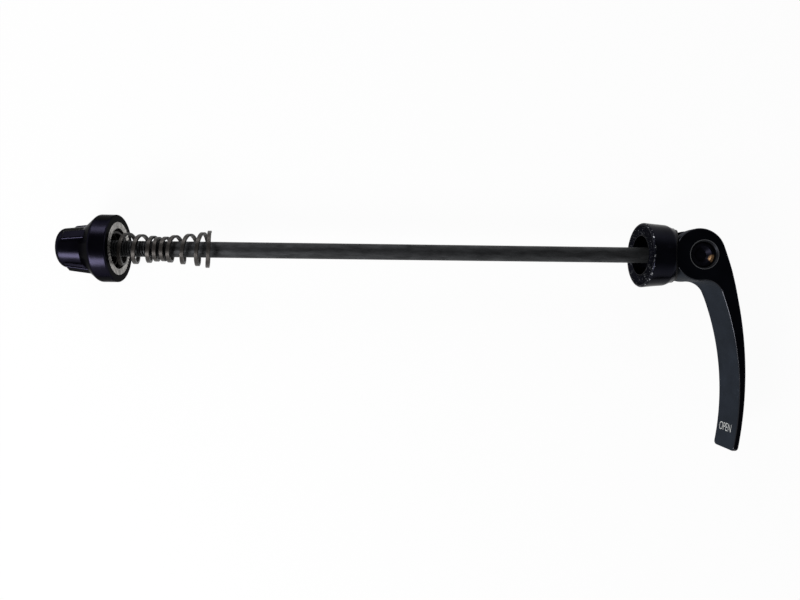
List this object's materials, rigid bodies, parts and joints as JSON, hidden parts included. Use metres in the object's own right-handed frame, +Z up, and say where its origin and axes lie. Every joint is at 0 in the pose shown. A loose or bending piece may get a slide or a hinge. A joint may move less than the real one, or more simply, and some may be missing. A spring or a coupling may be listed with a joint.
{
  "type": "quick-release skewer",
  "caption": "Bicycle quick-release skewer: threaded rod with an external cam lever and clamping cap at one end, a ribbed adjusting nut at the other and conical centring springs.",
  "frame": {"origin": "on the rod's axis, midway between the two clamp faces", "axes": "+X along the rod towards the lever, +Z up along the lever's pivot, lever closed along -Y"},
  "size_m": [0.2139, 0.0725, 0.0208],
  "materials": {
    "rod_steel": "black-oxide steel, lengthwise drawing marks",
    "barrel_steel": "dark steel with a bronze tint",
    "lever_black": "black anodised, polished sides, satin hollow side",
    "cap_black": "black anodised, gloss",
    "nut_black": "black anodised with a blue tint, satin",
    "saddle_plastic": "black acetal",
    "spring_steel": "flat spring wire, brown-grey",
    "grip_steel": "bare serrated steel",
    "lock_nylon": "dark nylon"
  },
  "bodies": {
    "rod": {"skewer_rod": "rod_steel", "pivot_barrel": "barrel_steel"},
    "lever": {"lever": "lever_black"},
    "cap": {"end_cap": "cap_black", "cam_saddle": "saddle_plastic"},
    "nut_spring": {"nut_spring": "spring_steel"},
    "nut": {"adjusting_nut": "nut_black", "nut_grip_ring": "grip_steel", "nut_lock_insert": "lock_nylon"},
    "lever_spring": {"lever_spring": "spring_steel"}
  },
  "joints": [
    {"name": "lever_swing", "type": "hinge", "parent": "rod", "child": "lever", "pos_m": [0.1002, 0, 0], "axis": [0, 0, 1], "range_deg": [0, 145]},
    {"name": "cap_slide", "type": "slide", "parent": "rod", "child": "cap", "axis": [1, 0, 0], "range_m": [0, 0.00153]},
    {"name": "nut_travel", "type": "slide", "parent": "rod", "child": "nut_spring", "axis": [-1, 0, 0], "range_m": [-0.004, 0.004]},
    {"name": "nut_spin", "type": "hinge", "parent": "nut_spring", "child": "nut", "pos_m": [-0.0825, 0, 0], "axis": [-1, 0, 0], "range_deg": [-1800, 1800]},
    {"name": "lever_spring_slide", "type": "slide", "parent": "nut_spring", "child": "lever_spring", "axis": [1, 0, 0], "range_m": [0, 0.1345]}
  ],
  "couplings": [
    {"joint": "cap_slide", "follows": "lever_swing", "m_per_rad": 0.00060536},
    {"joint": "nut_travel", "follows": "nut_spin", "m_per_rad": 0.00012732}
  ]
}
